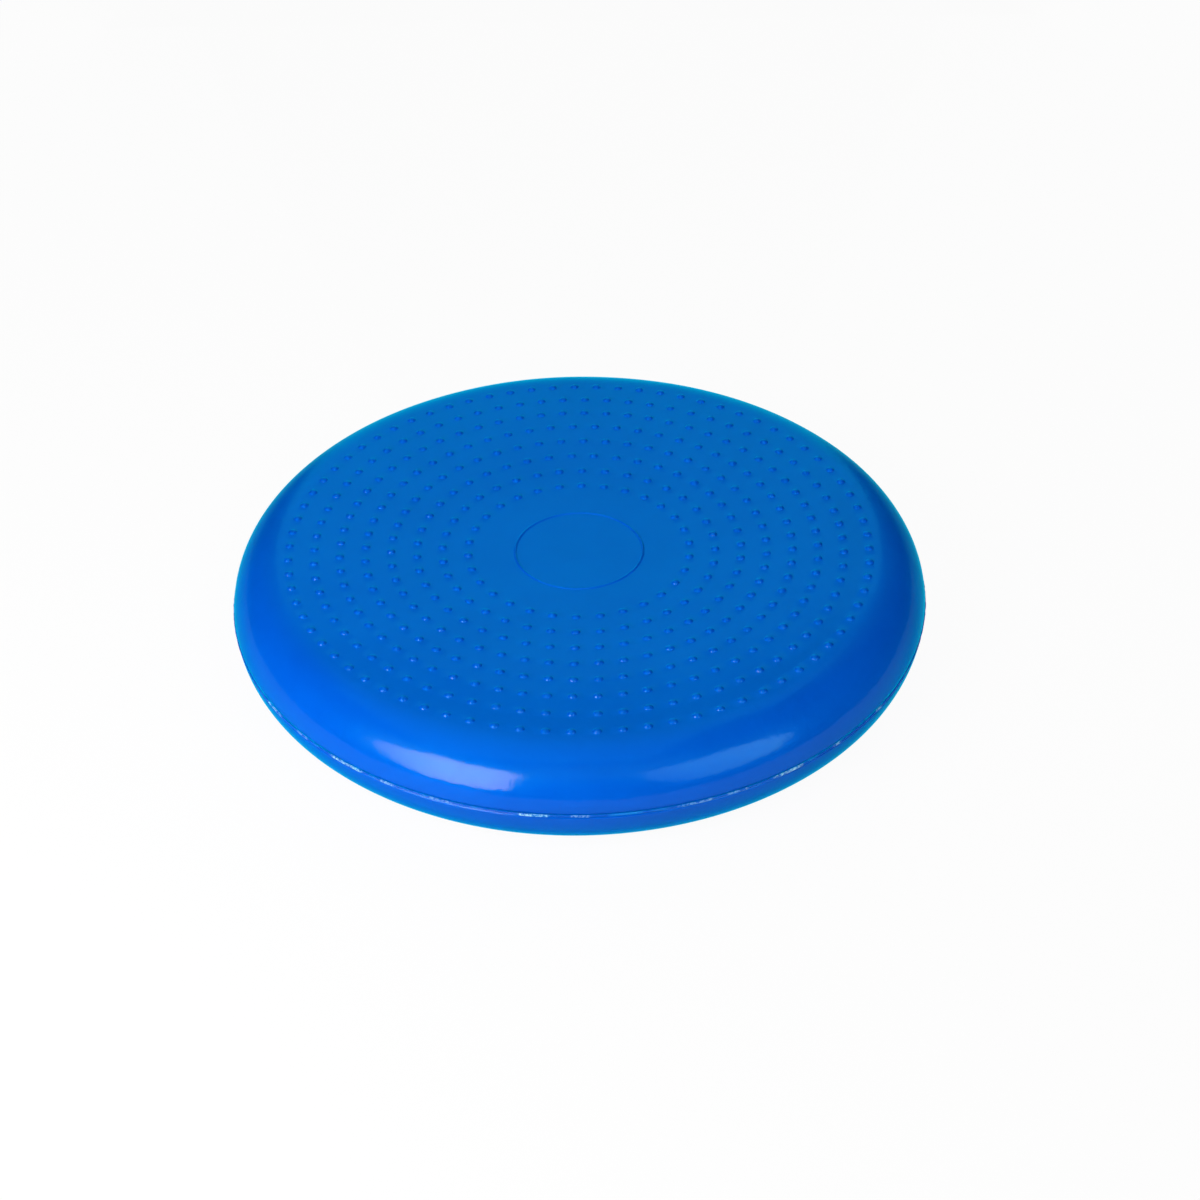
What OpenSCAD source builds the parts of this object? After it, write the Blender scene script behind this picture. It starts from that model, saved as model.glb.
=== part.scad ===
// Air-filled balance disc: a dished, nubbed upper skin and a plain lower skin joined
// by a welded seam round the rim, with a needle valve in the middle of the underside.
// Millimetres, +Z up. The origin is the centre of the face that the disc stands on.

/* [Disc] */
// Overall radius, out to the edge of the weld
disc_r = 165; // [150:1:190]
// Height of the weld's mid-plane above the floor
base_rise = 25.2; // [20:0.1:32]
// Height of the top's crest above the weld's mid-plane
top_rise = 23.8; // [20:0.1:32]
// Radius at which either face rolls over into the rim
flat_r = 139.5; // [139:0.1:141]
// Thickness of the moulded skin
wall = 4; // [2.5:0.1:5]

/* [Dish] */
// Radius of the shallow dish in either face
dish_r = 118; // [116:0.5:121]
// Depth of the dish in the top
top_dish = 4.3; // [1:0.1:8]
// Depth of the dish in the underside
base_dish = 4.3; // [1:0.1:8]

/* [Nubs] */
// Number of rings of nubs
nub_rings = 8; // [1:1:8]
// Radius of the innermost ring
nub_ring_r = 52.4; // [50:0.1:54]
// Radial distance from one ring to the next
nub_ring_step = 12.06; // [11.9:0.01:12.2]
// Distance from nub to nub along a ring
nub_pitch = 11.15; // [9:0.05:20]
// Radius of a nub at its foot
nub_r = 2; // [1:0.1:2.2]
// Height of a nub
nub_h = 1.3; // [0.6:0.1:1.9]
// Direction of the first nub of every ring, in degrees from +X
nub_start = -92; // [-180:1:180]

/* [Centre circle] */
// Radius of the raised line round the bare centre
line_r = 30.2; // [20:0.1:45]
// Width of the line
line_w = 1.6; // [0.8:0.1:3]
// Height of the line
line_h = 0.45; // [0.2:0.05:0.8]

/* [Weld] */
// Thickness of the weld between the two skins
weld_t = 1.2; // [0.6:0.1:2.4]
// How far the weld stands out past the skins
weld_out = 0.6; // [0.3:0.1:1.5]
// How far the weld stands in past the skins, inside the disc
weld_in = 1; // [0.3:0.1:2]

/* [Valve] */
// Radius of the boss inside the underside that holds the valve
boss_r = 10; // [9:0.5:16]
// Height of the boss above the underside
boss_h = 13; // [9:0.5:16]
// Radius of the valve's stem
stem_r = 4.5; // [3:0.1:5.5]
// Radius of the valve's outer flange
flange_r = 7.5; // [6.2:0.1:8.5]
// Thickness of the outer flange, which lies flush in the boss
flange_t = 1.6; // [1:0.1:2.5]
// Radius of the inner head that holds the valve in
head_r = 6; // [5.8:0.1:8]
// Thickness of the inner head
head_t = 3; // [2:0.1:5]
// Radius of the channel that takes the pump's needle
needle_r = 1.1; // [0.8:0.05:1.4]
// Depth of the channel, from its funnel to its sealed end
needle_depth = 11; // [6:0.5:13]
// Depth and extra radius of the funnel at the channel's mouth
funnel = 1; // [0.4:0.1:1.4]
// Clearance all round the valve in its boss
valve_fit = 0.05; // [0.02:0.01:0.2]

/* [Hidden] */
$fn = 180;
fine = 720;
cut = 1;
skin_r = disc_r - weld_out;
// Radius of the arc that is level at flat_r and reaches skin_r at the weld's mid-plane.
function roll_r(rise) = (pow(skin_r - flat_r, 2) + rise * rise) / (2 * rise);
// Radius of the sphere that cuts a dish of this depth.
function bowl_r(depth) = (dish_r * dish_r + depth * depth) / (2 * depth);
// Height of a dished face above its lowest point, at radius r.
function dish_z(r, depth) =
    r < dish_r ? bowl_r(depth) - sqrt(pow(bowl_r(depth), 2) - r * r) : depth;
function ring_r(k) = nub_ring_r + nub_ring_step * k;
function ring_count(k) = round(2 * PI * ring_r(k) / nub_pitch);
function cap_r(w, h) = (w * w + h * h) / (2 * h);
top_z = base_rise + top_rise;
valve_z = base_dish;
boss_top_z = valve_z + boss_h;

// Half of the disc's section, above a weld face, with its surface drawn in by inset.
module half_section(rise, depth, inset, from_z) {
    roll = roll_r(rise);
    bowl = bowl_r(depth);
    difference() {
        intersection() {
            union() {
                translate([flat_r, rise - roll]) circle(r = roll - inset);
                square([flat_r, rise - inset]);
            }
            translate([0, from_z]) square([disc_r, rise]);
        }
        translate([0, rise - depth + bowl]) circle(r = bowl + inset, $fn = fine);
    }
}

// Section of one skin, its weld face down and its dish up, measured from the weld's mid-plane.
module skin_section(rise, depth) {
    difference() {
        half_section(rise, depth, 0, weld_t / 2);
        half_section(rise, depth, wall, weld_t / 2 - cut);
    }
}

// Section of the raised line in the top's dish, measured from the weld's mid-plane.
module line_section() {
    bead_r = cap_r(line_w / 2, line_h);
    face_z = top_rise - top_dish + dish_z(line_r, top_dish);
    translate([line_r, face_z + line_h - bead_r]) circle(r = bead_r, $fn = 24);
}

// The cap of a sphere that stands on a face at radius r.
module nub(r, face_z) {
    ball_r = cap_r(nub_r, nub_h);
    translate([r, 0, face_z + nub_h - ball_r]) sphere(r = ball_r, $fn = 24);
}

module nubs() {
    for (k = [0:nub_rings - 1])
        for (i = [0:ring_count(k) - 1])
            rotate([0, 0, nub_start + 360 * i / ring_count(k)])
                nub(ring_r(k), top_z - top_dish + dish_z(ring_r(k), top_dish));
}

module upper_shell() {
    color([0.0, 0.42, 0.74]) union() {
        translate([0, 0, base_rise]) rotate_extrude() {
            skin_section(top_rise, top_dish);
            line_section();
        }
        nubs();
    }
}

module lower_shell() {
    color([0.0, 0.38, 0.70]) difference() {
        union() {
            translate([0, 0, base_rise]) mirror([0, 0, 1])
                rotate_extrude() skin_section(base_rise, base_dish);
            translate([0, 0, valve_z + wall / 2]) cylinder(r = boss_r, h = boss_h - wall / 2);
        }
        translate([0, 0, valve_z - cut]) cylinder(r = stem_r + valve_fit, h = boss_h + 2 * cut);
        translate([0, 0, valve_z - cut]) cylinder(r = flange_r + valve_fit, h = flange_t + cut);
    }
}

// The weld bead: flat where it meets the skins, round at both edges.
module seam_ring() {
    edge_r = weld_t / 2;
    inner_r = skin_r - wall - weld_in;
    color([0.05, 0.50, 0.80]) translate([0, 0, base_rise]) rotate_extrude() {
        translate([inner_r + edge_r, -edge_r]) square([disc_r - inner_r - weld_t, weld_t]);
        translate([disc_r - edge_r, 0]) circle(r = edge_r, $fn = 48);
        translate([inner_r + edge_r, 0]) circle(r = edge_r, $fn = 48);
    }
}

module valve_core() {
    color([0.10, 0.11, 0.13]) difference() {
        union() {
            translate([0, 0, valve_z]) cylinder(r = flange_r, h = flange_t);
            translate([0, 0, valve_z]) cylinder(r = stem_r, h = boss_h + head_t);
            translate([0, 0, boss_top_z]) cylinder(r1 = head_r, r2 = stem_r, h = head_t);
        }
        translate([0, 0, valve_z]) cylinder(r = needle_r, h = needle_depth);
        translate([0, 0, valve_z]) cylinder(r1 = needle_r + funnel, r2 = needle_r, h = funnel);
    }
}

upper_shell();
lower_shell();
seam_ring();
valve_core();
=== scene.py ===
import math
import random

import bpy
from mathutils import Matrix, Vector, noise


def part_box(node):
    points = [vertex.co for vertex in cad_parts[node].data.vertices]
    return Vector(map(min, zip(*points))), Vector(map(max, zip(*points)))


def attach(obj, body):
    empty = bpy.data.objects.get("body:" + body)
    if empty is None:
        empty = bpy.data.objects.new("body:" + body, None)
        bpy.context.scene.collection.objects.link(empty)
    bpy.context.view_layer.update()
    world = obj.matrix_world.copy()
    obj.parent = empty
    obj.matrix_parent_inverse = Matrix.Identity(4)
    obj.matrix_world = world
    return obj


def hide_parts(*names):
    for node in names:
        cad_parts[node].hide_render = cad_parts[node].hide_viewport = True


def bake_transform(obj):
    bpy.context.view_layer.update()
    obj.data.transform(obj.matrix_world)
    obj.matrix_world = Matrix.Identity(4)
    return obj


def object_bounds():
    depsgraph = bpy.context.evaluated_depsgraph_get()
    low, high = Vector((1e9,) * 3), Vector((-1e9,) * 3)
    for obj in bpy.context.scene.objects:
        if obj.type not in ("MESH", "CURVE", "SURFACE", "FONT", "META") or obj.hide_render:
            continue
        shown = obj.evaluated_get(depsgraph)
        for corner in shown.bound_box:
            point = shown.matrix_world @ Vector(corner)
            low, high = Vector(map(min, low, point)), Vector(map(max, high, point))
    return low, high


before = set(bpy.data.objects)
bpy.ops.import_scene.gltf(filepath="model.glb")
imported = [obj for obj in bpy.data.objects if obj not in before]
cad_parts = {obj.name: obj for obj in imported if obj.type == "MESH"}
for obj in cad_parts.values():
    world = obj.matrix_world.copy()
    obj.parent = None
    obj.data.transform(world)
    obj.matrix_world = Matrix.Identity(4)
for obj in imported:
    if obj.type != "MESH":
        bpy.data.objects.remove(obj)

# Air-filled balance disc. Metres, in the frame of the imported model: +Z up, the disc's
# axis on Z, standing on z = 0, with the camera on the -Y side.

cad_low, cad_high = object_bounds()

MM = 0.001
TAU = 2 * math.pi

# ---------------------------------------------------------------- sizes

seam_low, seam_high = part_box("seam_ring")
valve_low, valve_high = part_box("valve_core")

DISC_R = seam_high.x
SEAM_Z = (seam_low.z + seam_high.z) / 2
WELD_T = seam_high.z - seam_low.z
WELD_OUT = 0.6 * MM
WELD_IN = 1.0 * MM
SKIN_R = DISC_R - WELD_OUT
FLAT_R = 139.5 * MM
DISH_TURN = 80.0 * MM
DISH_EDGE = 130.0 * MM
WALL = 4.0 * MM
TOP_DISH = 4.3 * MM
BASE_DISH = 4.3 * MM
NUB_H = 1.3 * MM
NUB_R = 2.0 * MM
TOP_RISE = cad_high.z - NUB_H - SEAM_Z
BASE_RISE = SEAM_Z
TOP_Z = SEAM_Z + TOP_RISE

NUB_RINGS = 8
NUB_RING_R = 52.4 * MM
NUB_RING_STEP = 12.06 * MM
NUB_PITCH = 11.15 * MM
NUB_START = math.radians(-92)

LINE_R = 30.2 * MM
LINE_W = 1.6 * MM
LINE_H = 0.6 * MM

FLANGE_R = valve_high.x
FLANGE_T = 1.6 * MM
STEM_R = 4.5 * MM
BOSS_R = 10.0 * MM
BOSS_H = 13.0 * MM
NEEDLE_R = 1.1 * MM
NEEDLE_DEPTH = 11.0 * MM
VALVE_FIT = 0.05 * MM

# How far from a nub's centre its cell of the mesh reaches, along the radius.
CELL_HALF = 2.85 * MM
CELL_SIDE = 5
# A nub's section: radius and height as shares of NUB_R and NUB_H, with a flared foot.
NUB_SECTION = [(1.16, 0.0), (1.03, 0.06), (0.94, 0.21), (0.86, 0.39)]
NUB_SECTION += [(0.75, 0.59), (0.60, 0.78), (0.42, 0.91), (0.2, 0.98)]

rng = random.Random(7)


# ---------------------------------------------------------------- mesh tools

class Shell:
    """Vertices and faces of one mesh, made of loops of points that are bridged in turn."""

    def __init__(self):
        self.points = []
        self.faces = []

    def add(self, x, y, z):
        self.points.append((x, y, z))
        return len(self.points) - 1

    def loop(self, radius, z, count, start=0.0):
        """A level circle of points: a list of (angle, index) in rising order of angle."""
        angles = [start + TAU * i / count for i in range(count)]
        return [(a, self.add(radius * math.cos(a), radius * math.sin(a), z)) for a in angles]

    def bridge(self, inner, outer, flip=False):
        """Joins two loops round the same axis with triangles and quads, whatever their counts."""
        a = sorted((angle % TAU, index) for angle, index in inner)
        b = sorted((angle % TAU, index) for angle, index in outer)
        i = j = 0
        while i < len(a) or j < len(b):
            a0, a1 = a[i % len(a)], a[(i + 1) % len(a)]
            b0, b1 = b[j % len(b)], b[(j + 1) % len(b)]
            next_a = a1[0] + (TAU if i + 1 >= len(a) else 0)
            next_b = b1[0] + (TAU if j + 1 >= len(b) else 0)
            if i < len(a) and j < len(b) and abs(next_a - next_b) < 1e-7:
                face = (a0[1], b0[1], b1[1], a1[1])
                i, j = i + 1, j + 1
            elif j >= len(b) or (i < len(a) and next_a < next_b):
                face = (a0[1], b0[1], a1[1])
                i += 1
            else:
                face = (a0[1], b0[1], b1[1])
                j += 1
            self.faces.append(face[::-1] if flip else face)

    def lathe(self, section, count, flip=False, before=None):
        """Loops through (radius, z) points, bridged one to the next, and to the loop before."""
        last = before
        for radius, z in section:
            loop = self.loop(radius, z, count)
            if last is not None:
                self.bridge(last, loop, flip)
            last = loop
        return last

    def cap(self, loop, z, flip=False):
        """Closes a loop with a fan to a point on the axis."""
        centre = self.add(0, 0, z)
        ring = sorted((angle % TAU, index) for angle, index in loop)
        for (_, one), (_, two) in zip(ring, ring[1:] + ring[:1]):
            self.faces.append((centre, two, one) if flip else (centre, one, two))

    def build(self, name, warp=None):
        mesh = bpy.data.meshes.new(name)
        points = [warp(Vector(p)) for p in self.points] if warp else self.points
        mesh.from_pydata(points, [], self.faces)
        mesh.validate()
        mesh.update()
        mesh.polygons.foreach_set("use_smooth", [True] * len(mesh.polygons))
        piece = bpy.data.objects.new(name, mesh)
        bpy.context.scene.collection.objects.link(piece)
        return piece


def smooth_step(t):
    t = min(max(t, 0.0), 1.0)
    return t * t * (3 - 2 * t)


def roll_radius(rise):
    return ((SKIN_R - FLAT_R) ** 2 + rise ** 2) / (2 * rise)


def dish_drop(radius, depth):
    """How far below the crest a dished face lies: a hollow that turns over softly into the flat crest."""
    slope = 2 * depth / DISH_EDGE
    if radius < DISH_TURN:
        return depth - slope * radius ** 2 / (2 * DISH_TURN)
    if radius < DISH_EDGE:
        return slope * (DISH_EDGE - radius) ** 2 / (2 * (DISH_EDGE - DISH_TURN))
    return 0.0


def roll_section(rise, inset, steps):
    """(radius, height) points from the crest round the rim to the weld face, height from the seam's plane."""
    roll = roll_radius(rise)
    end = math.acos(min(1.0, (WELD_T / 2 - rise + roll) / (roll - inset)))
    turns = [end * i / steps for i in range(steps + 1)]
    return [(FLAT_R + (roll - inset) * math.sin(t), rise - roll + (roll - inset) * math.cos(t)) for t in turns]


def rim_share(p):
    """0 on the faces and 1 at the seam: how much a point follows the rim's unevenness."""
    return smooth_step((math.hypot(p.x, p.y) - 0.7 * FLAT_R) / (SKIN_R - 0.7 * FLAT_R))


# The moulded skins are a little uneven: long shallow waves round the rim and over the faces,
# always inwards, so that the disc never outgrows its frame.
RIM_WAVE = 0.35 * MM
FACE_WAVE = 0.25 * MM


def uneven(p):
    angle = math.atan2(p.y, p.x)
    round_rim = 0.5 + 0.5 * noise.noise(Vector((1.6 * math.cos(angle), 1.6 * math.sin(angle), 3.0)))
    inwards = RIM_WAVE * round_rim * rim_share(p) / DISC_R
    over_face = 0.5 + 0.5 * noise.noise(Vector((p.x * 22, p.y * 22, 9.0)))
    height = (p.z - SEAM_Z) / TOP_RISE
    drop = FACE_WAVE * over_face * smooth_step(abs(height)) * (1 if height > 0 else 0)
    return Vector((p.x * (1 - inwards), p.y * (1 - inwards), p.z - drop))


# ---------------------------------------------------------------- upper skin

def top_height(radius):
    """Height of the upper face at a radius, with the raised line."""
    z = TOP_Z - dish_drop(radius, TOP_DISH)
    across = (radius - LINE_R) / (LINE_W / 2)
    if abs(across) < 1:
        z += LINE_H * (0.5 + 0.5 * math.cos(math.pi * across))
    return z


def nub_band(shell, ring):
    """One ring of nubs and the band of skin that they stand on. Returns its inner and outer loops."""
    radius = NUB_RING_R + NUB_RING_STEP * ring
    count = round(TAU * radius / NUB_PITCH)
    half = math.pi / count
    columns = count * CELL_SIDE
    angle_of = [NUB_START - half + 2 * half * i / CELL_SIDE for i in range(columns)]
    radii = [radius + CELL_HALF * (2 * j / CELL_SIDE - 1) for j in range(CELL_SIDE + 1)]

    def spot(angle, r):
        return shell.add(r * math.cos(angle), r * math.sin(angle), top_height(r))

    inner = [spot(a, radii[0]) for a in angle_of]
    outer = [spot(a, radii[-1]) for a in angle_of]
    # The radial sides between cells, shared by both neighbours, without their end points.
    sides = [[spot(angle_of[i * CELL_SIDE], r) for r in radii[1:-1]] for i in range(count)]
    for i in range(count):
        first, after = i * CELL_SIDE, (i + 1) * CELL_SIDE
        low = [inner[(first + k) % columns] for k in range(CELL_SIDE + 1)]
        high = [outer[(first + k) % columns] for k in range(CELL_SIDE + 1)]
        edge = sides[i] + high + sides[(i + 1) % count][::-1] + low[::-1]
        nub_on(shell, edge, NUB_START + 2 * half * i, radius)
    return list(zip(angle_of, inner)), list(zip(angle_of, outer))


def nub_on(shell, edge, angle, radius):
    """A round nub with a flared foot, joined to the edge of its cell, which runs anticlockwise."""
    height = NUB_H * rng.uniform(0.80, 0.98)
    wide = NUB_R * rng.uniform(0.96, 1.03)
    shift = Vector((rng.gauss(0, 0.06), rng.gauss(0, 0.06), 0)) * MM
    centre = Vector((radius * math.cos(angle), radius * math.sin(angle), 0)) + shift
    rays = [(Vector(shell.points[k][:2]).to_3d() - centre).normalized() for k in edge]
    last = edge
    for share, lift in NUB_SECTION:
        loop = []
        for ray in rays:
            p = centre + ray * wide * share
            loop.append(shell.add(p.x, p.y, top_height(p.to_2d().length) + height * lift))
        for k in range(len(edge)):
            n = (k + 1) % len(edge)
            shell.faces.append((last[k], last[n], loop[n], loop[k]))
        last = loop
    tip = shell.add(centre.x, centre.y, top_height(radius) + height)
    for k in range(len(edge)):
        shell.faces.append((last[k], last[(k + 1) % len(edge)], tip))


def make_upper_skin():
    shell = Shell()
    count = 144
    line = [LINE_R + LINE_W / 2 * s for s in (-1.25, -1, -0.75, -0.5, -0.25, 0, 0.25, 0.5, 0.75, 1, 1.25)]
    radii = [3 * MM, 8 * MM, 14 * MM, 20 * MM, 25 * MM, *line, 36 * MM, 43 * MM]
    first = shell.loop(radii[0], top_height(radii[0]), count)
    shell.cap(first, top_height(0))
    last = shell.lathe([(r, top_height(r)) for r in radii[1:]], count, before=first)
    for ring in range(NUB_RINGS):
        inner, outer = nub_band(shell, ring)
        if ring:
            between = NUB_RING_R + NUB_RING_STEP * (ring - 0.5)
            last = shell.lathe([(between, top_height(between))], len(inner), before=last)
        shell.bridge(last, inner)
        last = outer
    rim_count = 360
    outside = roll_section(TOP_RISE, 0, 26)
    outside = [(r, SEAM_Z + z) for r, z in outside if r > NUB_RING_R + 7 * NUB_RING_STEP + CELL_HALF + 0.3 * MM]
    last = shell.lathe(outside, rim_count, before=last)
    inside = [(r, SEAM_Z + z) for r, z in roll_section(TOP_RISE, WALL, 8)[::-1]]
    faces = [120 * MM, 90 * MM, 60 * MM, 30 * MM, 5 * MM]
    inside += [(r, TOP_Z - WALL - dish_drop(r, TOP_DISH)) for r in faces]
    last = shell.lathe(inside, 120, before=last)
    shell.cap(last, TOP_Z - WALL - dish_drop(0, TOP_DISH), flip=True)
    return shell.build("upper_skin", uneven)


# ---------------------------------------------------------------- lower skin and valve

def make_lower_skin():
    """The lower skin, down to the hole that the valve's seat fills."""
    shell = Shell()
    hole = BOSS_R

    def under(radius):
        return dish_drop(radius, BASE_DISH)

    steps = [hole, hole + 0.4 * MM, 14 * MM, 22 * MM, 35 * MM, 50 * MM, 65 * MM, 80 * MM, 92 * MM]
    steps += [102 * MM, 110 * MM, 117 * MM, 123 * MM, 128 * MM, 133 * MM, 137 * MM]
    lip = 0.25 * MM
    section = [(r, under(r) + (lip if r == hole else 0)) for r in steps]
    section += [(r, SEAM_Z - z) for r, z in roll_section(BASE_RISE, 0, 24)]
    section += [(r, SEAM_Z - z) for r, z in roll_section(BASE_RISE, WALL, 8)[::-1]]
    section += [(r, under(r) + WALL) for r in (120 * MM, 90 * MM, 60 * MM, 30 * MM, hole)]
    first = shell.loop(*section[0], 240)
    last = shell.lathe(section[1:], 240, flip=True, before=first)
    shell.bridge(last, first, flip=True)
    return shell.build("lower_skin", uneven)


def lathe_piece(name, section, count=96):
    """A closed ring turned round Z from a closed section, listed anticlockwise with the radius to the right."""
    shell = Shell()
    first = shell.loop(*section[0], count)
    last = shell.lathe(section[1:], count, flip=True, before=first)
    shell.bridge(last, first, flip=True)
    return shell.build(name)


def rounded(corners, radius, steps=4):
    """The corners of a closed section, each cut to an arc of a few points."""
    points = []
    for i, here in enumerate(corners):
        here = Vector(here)
        back = Vector(corners[i - 1]) - here
        ahead = Vector(corners[(i + 1) % len(corners)]) - here
        reach = min(radius, back.length * 0.45, ahead.length * 0.45)
        start, end = here + back.normalized() * reach, here + ahead.normalized() * reach
        for k in range(steps + 1):
            t = k / steps
            points.append(tuple((1 - t) ** 2 * start + 2 * t * (1 - t) * here + t ** 2 * end))
    return points


def make_valve_seat():
    """The thick boss moulded in the lower skin, with the recess that holds the valve's flange."""
    low = dish_drop(0, BASE_DISH)
    outer = BOSS_R - 0.1 * MM
    recess = FLANGE_R + VALVE_FIT
    bore = STEM_R + VALVE_FIT
    corners = [(recess, low), (outer, low), (outer, low + BOSS_H), (bore, low + BOSS_H)]
    corners += [(bore, low + FLANGE_T), (recess, low + FLANGE_T)]
    return lathe_piece("valve_seat", rounded(corners, 0.4 * MM))


def make_valve():
    """The rubber needle valve: a domed flange, a funnel, a blind needle channel and the head inside."""
    low = dish_drop(0, BASE_DISH)
    head_z = low + BOSS_H
    shell = Shell()
    section = [(NEEDLE_R, low + NEEDLE_DEPTH), (NEEDLE_R, low + 1.2 * MM), (NEEDLE_R + 0.15 * MM, low + 0.9 * MM)]
    section += [(NEEDLE_R + 0.5 * MM, low + 0.45 * MM), (NEEDLE_R + 0.9 * MM, low + 0.14 * MM)]
    section += [(NEEDLE_R + 1.2 * MM, low + 0.06 * MM), (3.1 * MM, low + 0.05 * MM), (3.3 * MM, low + 0.25 * MM)]
    section += [(3.7 * MM, low + 0.25 * MM), (3.9 * MM, low + 0.05 * MM), (5.8 * MM, low + 0.05 * MM)]
    section += [(6.8 * MM, low + 0.12 * MM), (FLANGE_R - 0.2 * MM, low + 0.3 * MM), (FLANGE_R, low + 0.6 * MM)]
    section += [(FLANGE_R, low + FLANGE_T), (STEM_R, low + FLANGE_T), (STEM_R, head_z), (6.0 * MM, head_z)]
    section += [(5.8 * MM, head_z + 0.8 * MM), (STEM_R, head_z + 3.0 * MM)]
    first = shell.loop(*section[0], 72)
    shell.cap(first, section[0][1])
    last = shell.lathe(section[1:], 72, flip=True, before=first)
    shell.cap(last, section[-1][1], flip=False)
    return shell.build("valve")


# ---------------------------------------------------------------- weld

# Bits of flash that were left when the weld was trimmed: azimuth and length in degrees,
# and how far each stands out, as a share of the weld's own reach.
FLASH = [(-147, 5, 0.5), (-139, 3, 0.3), (-129, 7, 0.7), (-121, 3, 0.6), (-112, 4, 0.3), (-97.5, 5, 1.0)]
FLASH += [(-90.5, 3, 0.5), (-73, 6, 0.4), (-66, 4, 0.35), (-57, 6, 0.8), (-47, 2, 0.6), (-36, 2, 0.5)]
FLASH += [(-18, 4, 0.3), (8, 7, 0.5), (31, 4, 0.7), (58, 5, 0.4), (96, 6, 0.6), (127, 3, 0.5), (163, 6, 0.6)]


def flash_at(angle):
    """How much flash stands at an angle, 0 to 1, with ragged ends."""
    best = 0.0
    for azimuth, length, amount in FLASH:
        away = (math.degrees(angle) - azimuth + 180) % 360 - 180
        inside = 1 - abs(away) / (length / 2)
        if inside > 0:
            best = max(best, amount * smooth_step(inside * 4))
    return best


def make_weld():
    """The weld's bead: thick where it joins the skins, thin at its lip, and ragged where flash is left."""
    shell = Shell()
    count = 1440
    root = SKIN_R - WALL - WELD_IN
    loops = []
    for i in range(count):
        angle = TAU * i / count - math.pi
        cos, sin = math.cos(angle), math.sin(angle)
        ragged = noise.noise(Vector((cos * 60, sin * 60, 1.0)))
        fine = noise.noise(Vector((cos * 190, sin * 190, 5.0)))
        flash = flash_at(angle)
        reach = WELD_OUT * min(1.0, max(0.15, 0.5 + 0.25 * ragged + 0.10 * fine + 0.6 * flash))
        lip = (0.22 + 0.10 * ragged + 0.30 * flash + 0.10 * flash * fine) * MM
        sag = (0.10 * ragged + 0.22 * flash * fine) * MM
        half = WELD_T / 2
        section = [(root, half * 0.5), (root + 0.3 * MM, half), (SKIN_R - 0.05 * MM, half)]
        section += [(SKIN_R + reach * 0.35, lip + sag), (SKIN_R + reach * 0.85, lip * 0.8 + sag)]
        section += [(SKIN_R + reach, sag), (SKIN_R + reach * 0.85, -lip * 0.8 + sag)]
        section += [(SKIN_R + reach * 0.35, -lip + sag), (SKIN_R - 0.05 * MM, -half)]
        section += [(root + 0.3 * MM, -half), (root, -half * 0.5)]
        loops.append([shell.add(r * cos, r * sin, SEAM_Z + z) for r, z in section])
    for one, two in zip(loops, loops[1:] + loops[:1]):
        for k in range(len(one)):
            n = (k + 1) % len(one)
            shell.faces.append((one[k], two[k], two[n], one[n]))
    piece = shell.build("weld", uneven)
    marks = piece.data.attributes.new("flash", "FLOAT", "POINT")
    marks.data.foreach_set("value", [flash_at(math.atan2(p[1], p[0])) for p in shell.points])
    return piece


# ---------------------------------------------------------------- materials

class Nodes:
    """Short ways to add and link the nodes of one material."""

    def __init__(self, name):
        self.material = bpy.data.materials.new(name)
        self.material.use_nodes = True
        self.tree = self.material.node_tree
        self.tree.nodes.clear()
        self.output = self.add("ShaderNodeOutputMaterial")

    def add(self, kind, inputs=None, **settings):
        node = self.tree.nodes.new(kind)
        for key, value in settings.items():
            setattr(node, key, value)
        for key, value in (inputs or {}).items():
            self.put(node, key, value)
        return node

    def put(self, node, key, value):
        socket = node.inputs[key]
        if isinstance(value, bpy.types.NodeSocket):
            self.tree.links.new(value, socket)
        else:
            socket.default_value = value

    def noise(self, at, scale, detail=3.0, roughness=0.5):
        inputs = {"Vector": at, "Scale": scale, "Detail": detail, "Roughness": roughness}
        return self.add("ShaderNodeTexNoise", inputs).outputs["Fac"]

    def range(self, value, low, high, to_low, to_high):
        inputs = {"Value": value, "From Min": low, "From Max": high, "To Min": to_low, "To Max": to_high}
        return self.add("ShaderNodeMapRange", inputs).outputs["Result"]

    def math(self, operation, one, two):
        return self.add("ShaderNodeMath", {0: one, 1: two}, operation=operation).outputs[0]

    def mix(self, factor, one, two):
        node = self.add("ShaderNodeMix", data_type="RGBA")
        self.put(node, "Factor", factor)
        self.put(node, 6, one)
        self.put(node, 7, two)
        return node.outputs[2]

    def bump(self, height, strength, distance, normal=None):
        inputs = {"Height": height, "Strength": strength, "Distance": distance}
        node = self.add("ShaderNodeBump", inputs)
        if normal is not None:
            self.put(node, "Normal", normal)
        return node.outputs["Normal"]

    def finish(self, shader):
        self.tree.links.new(shader, self.output.inputs["Surface"])
        return self.material


# The faces' blue is greener and paler than the rim's: a painted reflection of the overhead light on the top face.
FACE_BLUE_PAINTED_SHEEN = (0.0, 0.098, 0.60, 1.0)
RIM_BLUE = (0.0, 0.095, 0.62, 1.0)
DEEP_BLUE = (0.0, 0.070, 0.53, 1.0)
SHEEN_CYAN = (0.0, 0.86, 1.0, 1.0)
# How strongly the skin mirrors: a clear crisp gloss, and under it a wide blue-green one.
COAT = 0.2
BLOOM = 0.8


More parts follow.
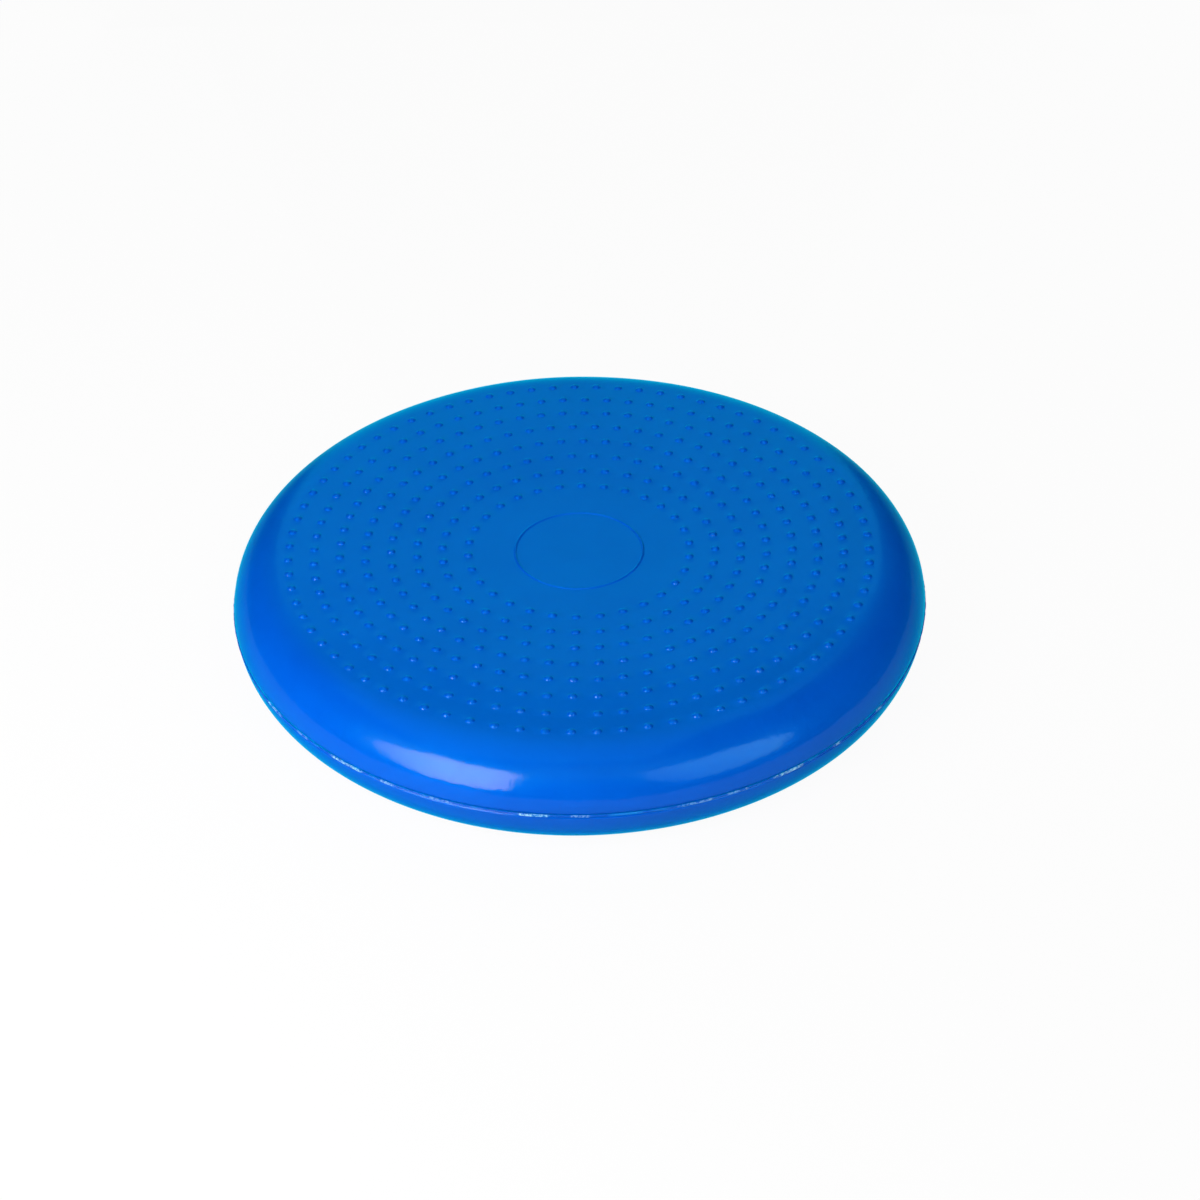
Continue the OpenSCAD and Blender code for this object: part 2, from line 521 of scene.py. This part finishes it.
def vinyl_material():
    """Soft blown vinyl: a satin skin with a faint mottle, orange peel and duller scuffed places, and a painted
    reflection: the faces take a greener, paler blue than the rim, standing in for the overhead light's sheen on the
    top.
    """
    n = Nodes("vinyl")
    at = n.add("ShaderNodeTexCoord").outputs["Object"]
    place = n.add("ShaderNodeSeparateXYZ", {"Vector": at})
    squares = n.math("ADD", n.math("POWER", place.outputs["X"], 2.0), n.math("POWER", place.outputs["Y"], 2.0))
    radius = n.math("SQRT", squares, 0.0)
    # Painted reflection: inside about 132 mm of radius, on the underside as well as the top, the skin takes the
    # greener face blue that stands in for the overhead light's sheen.
    on_rim = n.range(radius, 0.132, 0.150, 0.0, 1.0)
    blue = n.mix(on_rim, FACE_BLUE_PAINTED_SHEEN, RIM_BLUE)
    mottle = n.range(n.noise(at, 26.0, 4.0, 0.6), 0.35, 0.75, 0.0, 0.5)
    blue = n.mix(mottle, blue, DEEP_BLUE)
    scuff = n.range(n.noise(at, 9.0, 6.0, 0.7), 0.52, 0.75, 0.0, 1.0)
    rough = n.math("ADD", n.range(n.noise(at, 160.0, 3.0), 0.3, 0.7, 0.30, 0.38), n.math("MULTIPLY", scuff, 0.08))
    peel = n.bump(n.noise(at, 420.0, 3.0), 0.2, 0.0004)
    soft = n.bump(n.noise(at, 34.0, 2.0), 0.25, 0.0012, peel)
    facing = n.add("ShaderNodeLayerWeight", {"Blend": 0.5, "Normal": soft}).outputs["Facing"]
    inputs = {"Base Color": blue, "Roughness": rough, "IOR": 1.5, "Specular IOR Level": 0.0, "Normal": soft}
    inputs.update({"Coat Weight": n.range(facing, 0.25, 0.65, COAT, 0.1 * COAT), "Coat Roughness": 0.09})
    inputs.update({"Coat IOR": 1.5, "Coat Normal": soft})
    skin = n.add("ShaderNodeBsdfPrincipled", inputs)
    bloom = n.add("ShaderNodeBsdfGlossy", {"Color": SHEEN_CYAN, "Roughness": rough, "Normal": soft})
    share = n.math("MULTIPLY", n.add("ShaderNodeFresnel", {"IOR": 1.4, "Normal": soft}).outputs["Fac"], BLOOM)
    both = n.add("ShaderNodeMixShader", {0: share})
    n.tree.links.new(skin.outputs["BSDF"], both.inputs[1])
    n.tree.links.new(bloom.outputs["BSDF"], both.inputs[2])
    return n.finish(both.outputs[0])


def weld_material():
    """The weld's bead: the same vinyl, paler where the thin flash lets light through and is torn."""
    n = Nodes("weld_vinyl")
    at = n.add("ShaderNodeTexCoord").outputs["Object"]
    flash = n.add("ShaderNodeAttribute", attribute_name="flash").outputs["Fac"]
    torn = n.range(n.noise(at, 700.0, 4.0, 0.7), 0.42, 0.62, 0.0, 1.0)
    pale = n.math("MULTIPLY", flash, torn)
    streak = n.range(n.noise(at, 120.0, 3.0), 0.5, 0.66, 0.0, 0.6)
    blue = n.mix(streak, (0.0, 0.105, 0.58, 1.0), (0.01, 0.30, 0.76, 1.0))
    blue = n.mix(pale, blue, (0.45, 0.88, 1.0, 1.0))
    rough = n.range(n.noise(at, 300.0, 2.0), 0.3, 0.7, 0.34, 0.5)
    ridges = n.bump(n.noise(at, 900.0, 3.0), 0.5, 0.0003)
    inputs = {"Base Color": blue, "Roughness": rough, "IOR": 1.5, "Specular IOR Level": 0.03}
    inputs.update({"Coat Weight": 0.1, "Coat Roughness": 0.2, "Normal": ridges})
    shader = n.add("ShaderNodeBsdfPrincipled", inputs)
    return n.finish(shader.outputs["BSDF"])


def rubber_material():
    """Matt black rubber with a bloom of grey and fine moulding grain."""
    n = Nodes("valve_rubber")
    at = n.add("ShaderNodeTexCoord").outputs["Object"]
    bloom = n.range(n.noise(at, 240.0, 5.0, 0.65), 0.4, 0.8, 0.0, 0.5)
    black = n.mix(bloom, (0.018, 0.019, 0.021, 1.0), (0.06, 0.062, 0.066, 1.0))
    rough = n.range(n.noise(at, 600.0, 2.0), 0.3, 0.7, 0.5, 0.68)
    grain = n.bump(n.noise(at, 1500.0, 2.0), 0.3, 0.0002)
    inputs = {"Base Color": black, "Roughness": rough, "IOR": 1.5, "Specular IOR Level": 0.15, "Normal": grain}
    shader = n.add("ShaderNodeBsdfPrincipled", inputs)
    return n.finish(shader.outputs["BSDF"])


def floor_material():
    """A white floor. To the camera and in reflections most of it is plain white, and the rest keeps the shadow."""
    n = Nodes("floor_white")
    path = n.add("ShaderNodeLightPath")
    seen = n.math("MAXIMUM", path.outputs["Is Camera Ray"], path.outputs["Is Glossy Ray"])
    seen = n.math("MAXIMUM", seen, path.outputs["Is Transmission Ray"])
    at = n.add("ShaderNodeTexCoord").outputs["Object"]
    grain = n.mix(n.noise(at, 3.0, 2.0), (0.90, 0.90, 0.90, 1.0), (0.92, 0.92, 0.92, 1.0))
    lit = n.add("ShaderNodeBsdfDiffuse", {"Color": grain})
    white = n.add("ShaderNodeEmission", {"Color": (1, 1, 1, 1), "Strength": 1.0})
    mixed = n.add("ShaderNodeMixShader", {0: n.math("MULTIPLY", seen, 0.95)})
    n.tree.links.new(lit.outputs[0], mixed.inputs[1])
    n.tree.links.new(white.outputs[0], mixed.inputs[2])
    return n.finish(mixed.outputs[0])


# ---------------------------------------------------------------- stage, lights, camera

def make_floor():
    side = 6.0
    mesh = bpy.data.meshes.new("floor")
    mesh.from_pydata([(-side, -side, 0), (side, -side, 0), (side, side, 0), (-side, side, 0)], [], [(0, 1, 2, 3)])
    floor = bpy.data.objects.new("floor", mesh)
    bpy.context.scene.collection.objects.link(floor)
    mesh.materials.append(floor_material())


def direction(azimuth, elevation):
    """Unit vector from the disc: azimuth 0 is the camera's side, positive to the right, in degrees."""
    a, e = math.radians(azimuth), math.radians(elevation)
    return Vector((math.sin(a) * math.cos(e), -math.cos(a) * math.cos(e), math.sin(e)))


def aim(thing, azimuth, elevation, distance):
    """Puts a lamp or panel in its direction from the disc, facing it and unseen by the camera."""
    towards = direction(azimuth, elevation)
    thing.location = Vector((0, 0, SEAM_Z)) + towards * distance
    thing.rotation_euler = towards.to_track_quat("Z", "Y").to_euler()
    thing.visible_camera = False
    bpy.context.scene.collection.objects.link(thing)


def lamp(name, azimuth, elevation, distance, width, height, radiance):
    """A soft rectangular lamp that lights the surfaces and isn't mirrored in them."""
    data = bpy.data.lights.new(name, "AREA")
    data.shape = "RECTANGLE"
    data.size, data.size_y = width, height
    data.energy = radiance * math.pi * width * height
    thing = bpy.data.objects.new(name, data)
    thing.visible_glossy = False
    aim(thing, azimuth, elevation, distance)


def panel(name, azimuth, elevation, distance, outline, radiance, colour=(1, 1, 1), fade=None):
    """A glowing panel that is only mirrored in the surfaces. fade is the line that its glow falls off across."""
    n = Nodes(name)
    at = n.add("ShaderNodeTexCoord").outputs["Object"]
    glow = n.add("ShaderNodeEmission", {"Color": (*colour, 1), "Strength": radiance})
    if fade:
        (x0, y0), (x1, y1), least = fade
        length = (x1 - x0) ** 2 + (y1 - y0) ** 2
        along = n.add("ShaderNodeVectorMath", {0: at, 1: (x1 - x0, y1 - y0, 0)}, operation="DOT_PRODUCT")
        start = x0 * (x1 - x0) + y0 * (y1 - y0)
        share = n.range(along.outputs["Value"], start, start + length, least * radiance, radiance)
        n.put(glow, "Strength", share)
    mesh = bpy.data.meshes.new(name)
    mesh.from_pydata([(x, y, 0) for x, y in outline], [], [list(range(len(outline)))])
    mesh.materials.append(n.finish(glow.outputs[0]))
    thing = bpy.data.objects.new(name, mesh)
    thing.visible_diffuse = False
    thing.visible_transmission = False
    aim(thing, azimuth, elevation, distance)


def oblong(width, height):
    return [(-width / 2, -height / 2), (width / 2, -height / 2), (width / 2, height / 2), (-width / 2, height / 2)]


# What the studio's two softboxes look like from the disc: cut-cornered, in metres on the panel.
LEFT_BOX = [(0.33, -0.20), (0.27, 0.18), (0.0, 0.175), (-0.13, 0.08), (-0.19, -0.03), (-0.12, -0.17), (-0.04, -0.26)]
LEFT_BOX += [(0.08, -0.285), (0.22, -0.26)]
RIGHT_BOX = [(0.19, -0.06), (0.07, 0.13), (-0.28, 0.15), (-0.32, -0.05), (-0.22, -0.22)]
RIGHT_BOX += [(-0.04, -0.24), (0.12, -0.22)]
# The panel overhead, seen from below: its x runs along the disc's -Y and its y along +X.
TOP_PANEL = [(-0.41, -0.6), (0.41, -0.6), (0.41, 0.35), (-0.41, 0.35)]

# Radiance of each lamp, of each mirrored panel and of the surroundings.
KEY_LEFT = 2.06
KEY_NEAR = 4.9
FILL_RIGHT = 2.2
FRONT_SOFT = 2.06
BACK_LIGHT = 1.02
LEFT_GLINT = 20.0
RIGHT_GLINT = 7.4
TOP_GLINT = 1.8
CREST_GLINT = 1.2
BACK_GLINT = 2.0
AMBIENT = 0.04
# Tints of the mirrored panels: the room, the left softbox and the right one.
COOL = (0.1, 0.9, 1.0)
WARM = (1.0, 0.65, 0.58)
AQUA = (0.45, 1.0, 1.0)


def make_lights():
    lamp("key_left", -45, 30, 1.6, 1.2, 1.1, KEY_LEFT)
    lamp("key_near", -42, 28, 0.7, 0.5, 0.45, KEY_NEAR)
    lamp("fill_right", 45, 30, 1.6, 1.2, 1.1, FILL_RIGHT)
    lamp("back_light", 180, 40, 2.0, 3.0, 1.6, BACK_LIGHT)
    lamp("front_soft", 8, 50, 1.2, 0.8, 0.6, FRONT_SOFT)
    panel("left_glint", -45, 27, 0.7, LEFT_BOX, LEFT_GLINT, WARM, fade=((-0.22, -0.1), (0.05, 0.0), 0.25))
    panel("right_glint", 45, 30, 0.7, RIGHT_BOX, RIGHT_GLINT, AQUA, fade=((-0.3, -0.1), (0.15, 0.1), 0.3))
    panel("top_glint", -90, 86, 1.0, TOP_PANEL, TOP_GLINT, COOL)
    panel("crest_glint", 180, 60, 1.0, oblong(0.9, 0.35), CREST_GLINT, COOL)
    panel("back_glint", 180, 20, 0.64, oblong(0.66, 0.54), BACK_GLINT, COOL)
    world = bpy.data.worlds.new("studio")
    bpy.context.scene.world = world
    world.use_nodes = True
    background = world.node_tree.nodes["Background"]
    background.inputs["Color"].default_value = (0.85, 0.94, 1.0, 1.0)
    background.inputs["Strength"].default_value = AMBIENT


# The camera, on the disc's -Y side: degrees, metres, the point that it aims at, and millimetres of lens.
VIEW_ELEVATION = 37.17
VIEW_DISTANCE = 1.183
VIEW_ROLL = 0.64
AIM_RIGHT = 9.6 * MM
AIM_DOWN = 8.1 * MM
LENS = 74.2


def make_camera():
    camera = bpy.data.cameras.new("camera")
    camera.lens = LENS
    camera.sensor_width = 36.0
    camera_object = bpy.data.objects.new("camera", camera)
    bpy.context.scene.collection.objects.link(camera_object)
    middle = Vector((0, 0, SEAM_Z))
    back = direction(0, VIEW_ELEVATION)
    right = Vector((1, 0, 0))
    up = back.cross(right)
    camera_object.location = middle + back * VIEW_DISTANCE
    aim = middle + right * AIM_RIGHT - up * AIM_DOWN
    turn = (camera_object.location - aim).to_track_quat("Z", "Y").to_matrix()
    camera_object.rotation_euler = (turn @ Matrix.Rotation(math.radians(-VIEW_ROLL), 3, "Z")).to_euler()
    bpy.context.scene.camera = camera_object


# ---------------------------------------------------------------- assembly

def dress(piece, material):
    piece.data.materials.clear()
    piece.data.materials.append(material)


vinyl = vinyl_material()
rubber = rubber_material()

upper_skin = make_upper_skin()
dress(upper_skin, vinyl)
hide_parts("upper_shell")
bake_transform(upper_skin)

lower_skin = make_lower_skin()
dress(lower_skin, vinyl)
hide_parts("lower_shell")
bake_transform(lower_skin)

weld = make_weld()
dress(weld, weld_material())
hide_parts("seam_ring")
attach(weld, "rim")

valve_seat = make_valve_seat()
dress(valve_seat, vinyl)
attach(valve_seat, "base")

valve = make_valve()
dress(valve, rubber)
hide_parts("valve_core")
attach(valve, "base")

make_floor()
make_lights()
make_camera()

bpy.context.scene.view_settings.view_transform = "Standard"
